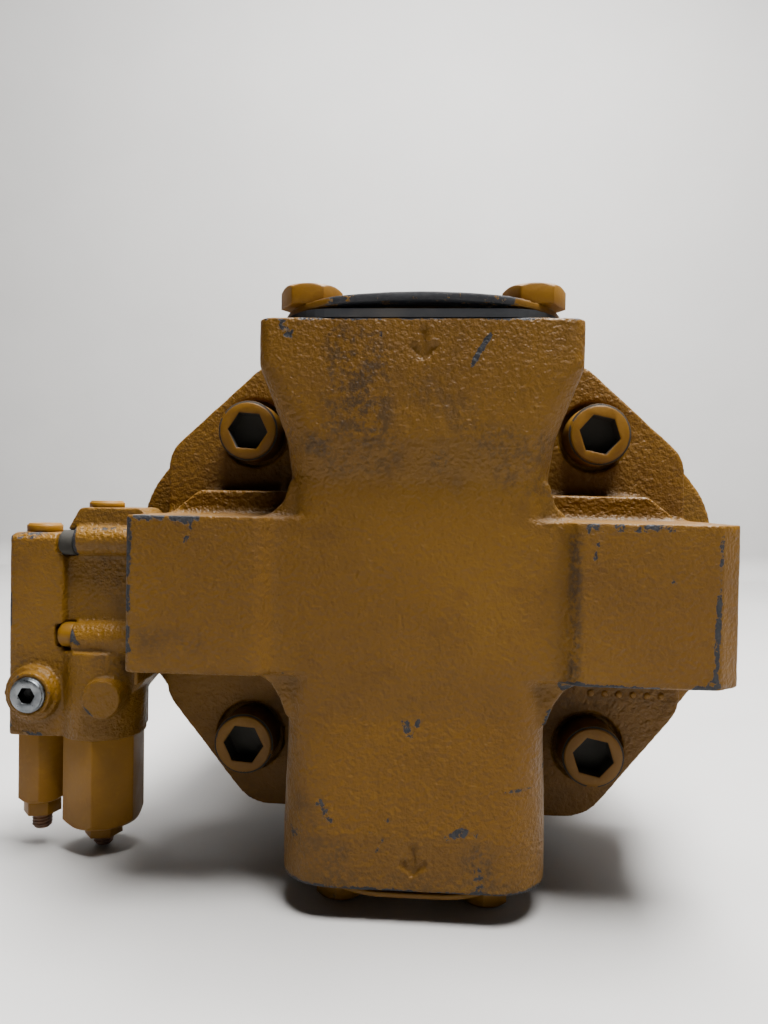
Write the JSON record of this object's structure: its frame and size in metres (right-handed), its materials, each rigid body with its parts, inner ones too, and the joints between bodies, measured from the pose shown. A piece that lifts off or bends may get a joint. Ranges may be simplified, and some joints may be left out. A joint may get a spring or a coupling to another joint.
{
  "type": "axial piston pump",
  "caption": "Variable displacement axial piston pump: cross-shaped port plate, blanked suction and pressure ports, swash mechanism, keyed shaft and two-spool control valve.",
  "frame": {"origin": "centre of the mounting face, on the shaft axis", "axes": "+Y along the shaft to the drive end, +Z to the suction port, +X to the bias piston side, away from the control valve"},
  "size_m": [0.2885, 0.2755, 0.218],
  "materials": {
    "ochre_paint": "satin ochre paint over rough casting, chipped on the edges",
    "black_rubber": "dull",
    "zinc_plate": "bright zinc",
    "rusty_steel": "rusty thread",
    "ground_steel": "ground",
    "bearing_steel": "polished",
    "bronze": "machined"
  },
  "bodies": {
    "case": {"pump_housing": "ochre_paint", "port_plate": "ochre_paint", "joint_gasket": "black_rubber", "port_plate_screws": "ochre_paint", "locating_pins": "ground_steel", "suction_cover_plate": "ochre_paint", "suction_cover_gasket": "black_rubber", "suction_cover_bolts": "ochre_paint", "pressure_cover_plate": "ochre_paint", "pressure_cover_gasket": "black_rubber", "pressure_cover_bolts": "ochre_paint", "blanking_plugs": "ochre_paint", "bearing_cups": "bearing_steel", "shaft_seal": "black_rubber", "seal_snap_ring": "ground_steel", "valve_plate": "bronze", "cradle_bearings": "bronze", "bias_spring": "ground_steel", "valve_block": "ochre_paint", "valve_screws": "ochre_paint", "pilot_port_plug": "zinc_plate", "adjuster_springs": "ground_steel", "adjuster_caps": "ochre_paint"},
    "rotor": {"drive_shaft": "ground_steel", "shaft_key": "ground_steel", "cylinder_barrel": "ground_steel", "barrel_spring": "ground_steel", "barrel_spring_seats": "ground_steel", "retaining_ball": "ground_steel", "bearing_cones": "bearing_steel"},
    "front_rollers": {"front_bearing_rollers": "bearing_steel"},
    "rear_rollers": {"rear_bearing_rollers": "bearing_steel"},
    "retaining_plate": {"retaining_plate": "ground_steel"},
    "swashplate": {"swashplate": "ground_steel"},
    "stroking_piston": {"stroking_piston": "ground_steel"},
    "bias_piston": {"bias_piston": "ground_steel"},
    "pressure_spool": {"pressure_spool": "ground_steel"},
    "flow_spool": {"flow_spool": "ground_steel"},
    "pressure_spring_seat": {"pressure_spring_seat": "ground_steel"},
    "flow_spring_seat": {"flow_spring_seat": "ground_steel"},
    "pressure_adjusting_screw": {"pressure_adjusting_screw": "rusty_steel"},
    "flow_adjusting_screw": {"flow_adjusting_screw": "rusty_steel"},
    "piston_1": {"piston_1": "ground_steel"},
    "slipper_1": {"slipper_1": "bronze"},
    "piston_2": {"piston_2": "ground_steel"},
    "slipper_2": {"slipper_2": "bronze"},
    "piston_3": {"piston_3": "ground_steel"},
    "slipper_3": {"slipper_3": "bronze"},
    "piston_4": {"piston_4": "ground_steel"},
    "slipper_4": {"slipper_4": "bronze"},
    "piston_5": {"piston_5": "ground_steel"},
    "slipper_5": {"slipper_5": "bronze"},
    "piston_6": {"piston_6": "ground_steel"},
    "slipper_6": {"slipper_6": "bronze"},
    "piston_7": {"piston_7": "ground_steel"},
    "slipper_7": {"slipper_7": "bronze"},
    "piston_8": {"piston_8": "ground_steel"},
    "slipper_8": {"slipper_8": "bronze"},
    "piston_9": {"piston_9": "ground_steel"},
    "slipper_9": {"slipper_9": "bronze"}
  },
  "joints": [
    {"name": "shaft_spin", "type": "hinge", "parent": "case", "child": "rotor", "pos_m": [0, 0, 0], "axis": [0, 1, 0], "range_deg": [-3690, 3600]},
    {"name": "swash_tilt", "type": "hinge", "parent": "case", "child": "swashplate", "pos_m": [0, -0.061, 0], "axis": [0, 0, 1], "range_deg": [0, 18]},
    {"name": "front_rollers_orbit", "type": "hinge", "parent": "case", "child": "front_rollers", "pos_m": [0, -0.014, 0], "axis": [0, 1, 0], "range_deg": [-1555.5, 1517.6]},
    {"name": "rear_rollers_orbit", "type": "hinge", "parent": "case", "child": "rear_rollers", "pos_m": [0, -0.151, 0], "axis": [0, 1, 0], "range_deg": [-1562.9, 1524.8]},
    {"name": "retaining_plate_tilt", "type": "hinge", "parent": "rotor", "child": "retaining_plate", "pos_m": [0, -0.061, 0], "axis": [0, 0, 1], "range_deg": [-18.5, 18.5]},
    {"name": "stroking_piston_slide", "type": "slide", "parent": "case", "child": "stroking_piston", "axis": [0, 1, 0], "range_m": [-0.0252, 0]},
    {"name": "bias_piston_slide", "type": "slide", "parent": "case", "child": "bias_piston", "axis": [0, 1, 0], "range_m": [0, 0.0252], "deforming": ["bias_spring"]},
    {"name": "pressure_spool_slide", "type": "slide", "parent": "case", "child": "pressure_spool", "axis": [0, 0, 1], "range_m": [-0.0025, 0.0025]},
    {"name": "flow_spool_slide", "type": "slide", "parent": "case", "child": "flow_spool", "axis": [0, 0, 1], "range_m": [-0.0025, 0.0025]},
    {"name": "pressure_seat_slide", "type": "slide", "parent": "case", "child": "pressure_spring_seat", "axis": [0, 0, 1], "range_m": [-0.0025, 0.004], "deforming": ["adjuster_springs"]},
    {"name": "flow_seat_slide", "type": "slide", "parent": "case", "child": "flow_spring_seat", "axis": [0, 0, 1], "range_m": [-0.0025, 0.004]},
    {"name": "pressure_screw_turn", "type": "hinge", "parent": "pressure_spring_seat", "child": "pressure_adjusting_screw", "pos_m": [-0.1284, -0.167, -0.09], "axis": [0, 0, 1], "range_deg": [-722, 1154]},
    {"name": "flow_screw_turn", "type": "hinge", "parent": "flow_spring_seat", "child": "flow_adjusting_screw", "pos_m": [-0.1546, -0.167, -0.09], "axis": [0, 0, 1], "range_deg": [-722, 1154]},
    {"name": "piston_1_slide", "type": "slide", "parent": "rotor", "child": "piston_1", "axis": [0, 1, 0], "range_m": [-0.0132, 0.0132]},
    {"name": "slipper_1_tilt", "type": "hinge", "parent": "piston_1", "child": "slipper_1", "pos_m": [0.039, -0.061, 0], "axis": [0, 0, 1], "range_deg": [-18.5, 18.5]},
    {"name": "piston_2_slide", "type": "slide", "parent": "rotor", "child": "piston_2", "axis": [0, 1, 0], "range_m": [-0.0132, 0.0132]},
    {"name": "slipper_2_tilt", "type": "hinge", "parent": "piston_2", "child": "slipper_2", "pos_m": [0.02988, -0.061, 0.02507], "axis": [0, 0, 1], "range_deg": [-18.5, 18.5]},
    {"name": "piston_3_slide", "type": "slide", "parent": "rotor", "child": "piston_3", "axis": [0, 1, 0], "range_m": [-0.0132, 0.0132]},
    {"name": "slipper_3_tilt", "type": "hinge", "parent": "piston_3", "child": "slipper_3", "pos_m": [0.00677, -0.061, 0.03841], "axis": [0, 0, 1], "range_deg": [-18.5, 18.5]},
    {"name": "piston_4_slide", "type": "slide", "parent": "rotor", "child": "piston_4", "axis": [0, 1, 0], "range_m": [-0.0132, 0.0132]},
    {"name": "slipper_4_tilt", "type": "hinge", "parent": "piston_4", "child": "slipper_4", "pos_m": [-0.0195, -0.061, 0.03377], "axis": [0, 0, 1], "range_deg": [-18.5, 18.5]},
    {"name": "piston_5_slide", "type": "slide", "parent": "rotor", "child": "piston_5", "axis": [0, 1, 0], "range_m": [-0.0132, 0.0132]},
    {"name": "slipper_5_tilt", "type": "hinge", "parent": "piston_5", "child": "slipper_5", "pos_m": [-0.03665, -0.061, 0.01334], "axis": [0, 0, 1], "range_deg": [-18.5, 18.5]},
    {"name": "piston_6_slide", "type": "slide", "parent": "rotor", "child": "piston_6", "axis": [0, 1, 0], "range_m": [-0.0132, 0.0132]},
    {"name": "slipper_6_tilt", "type": "hinge", "parent": "piston_6", "child": "slipper_6", "pos_m": [-0.03665, -0.061, -0.01334], "axis": [0, 0, 1], "range_deg": [-18.5, 18.5]},
    {"name": "piston_7_slide", "type": "slide", "parent": "rotor", "child": "piston_7", "axis": [0, 1, 0], "range_m": [-0.0132, 0.0132]},
    {"name": "slipper_7_tilt", "type": "hinge", "parent": "piston_7", "child": "slipper_7", "pos_m": [-0.0195, -0.061, -0.03377], "axis": [0, 0, 1], "range_deg": [-18.5, 18.5]},
    {"name": "piston_8_slide", "type": "slide", "parent": "rotor", "child": "piston_8", "axis": [0, 1, 0], "range_m": [-0.0132, 0.0132]},
    {"name": "slipper_8_tilt", "type": "hinge", "parent": "piston_8", "child": "slipper_8", "pos_m": [0.00677, -0.061, -0.03841], "axis": [0, 0, 1], "range_deg": [-18.5, 18.5]},
    {"name": "piston_9_slide", "type": "slide", "parent": "rotor", "child": "piston_9", "axis": [0, 1, 0], "range_m": [-0.0132, 0.0132]},
    {"name": "slipper_9_tilt", "type": "hinge", "parent": "piston_9", "child": "slipper_9", "pos_m": [0.02988, -0.061, -0.02507], "axis": [0, 0, 1], "range_deg": [-18.5, 18.5]}
  ],
  "couplings": [
    {"joint": "front_rollers_orbit", "follows": "shaft_spin", "ratio": 0.421},
    {"joint": "rear_rollers_orbit", "follows": "shaft_spin", "ratio": 0.423},
    {"joint": "retaining_plate_tilt", "follows": "swash_tilt", "ratio": 1},
    {"joint": "stroking_piston_slide", "follows": "swash_tilt", "m_per_rad": -0.078599},
    {"joint": "bias_piston_slide", "follows": "swash_tilt", "m_per_rad": 0.07752},
    {"joint": "pressure_screw_turn", "follows": "pressure_seat_slide", "rad_per_m": 5026.5},
    {"joint": "flow_screw_turn", "follows": "flow_seat_slide", "rad_per_m": 5026.5},
    {"joint": "piston_1_slide", "follows": "swash_tilt", "m_per_rad": 0.040014},
    {"joint": "slipper_1_tilt", "follows": "swash_tilt", "ratio": 1},
    {"joint": "piston_2_slide", "follows": "swash_tilt", "m_per_rad": 0.030652},
    {"joint": "slipper_2_tilt", "follows": "swash_tilt", "ratio": 1},
    {"joint": "piston_3_slide", "follows": "swash_tilt", "m_per_rad": 0.0069484},
    {"joint": "slipper_3_tilt", "follows": "swash_tilt", "ratio": 1},
    {"joint": "piston_4_slide", "follows": "swash_tilt", "m_per_rad": -0.020007},
    {"joint": "slipper_4_tilt", "follows": "swash_tilt", "ratio": 1},
    {"joint": "piston_5_slide", "follows": "swash_tilt", "m_per_rad": -0.037601},
    {"joint": "slipper_5_tilt", "follows": "swash_tilt", "ratio": 1},
    {"joint": "piston_6_slide", "follows": "swash_tilt", "m_per_rad": -0.037601},
    {"joint": "slipper_6_tilt", "follows": "swash_tilt", "ratio": 1},
    {"joint": "piston_7_slide", "follows": "swash_tilt", "m_per_rad": -0.020007},
    {"joint": "slipper_7_tilt", "follows": "swash_tilt", "ratio": 1},
    {"joint": "piston_8_slide", "follows": "swash_tilt", "m_per_rad": 0.0069484},
    {"joint": "slipper_8_tilt", "follows": "swash_tilt", "ratio": 1},
    {"joint": "piston_9_slide", "follows": "swash_tilt", "m_per_rad": 0.030652},
    {"joint": "slipper_9_tilt", "follows": "swash_tilt", "ratio": 1}
  ]
}
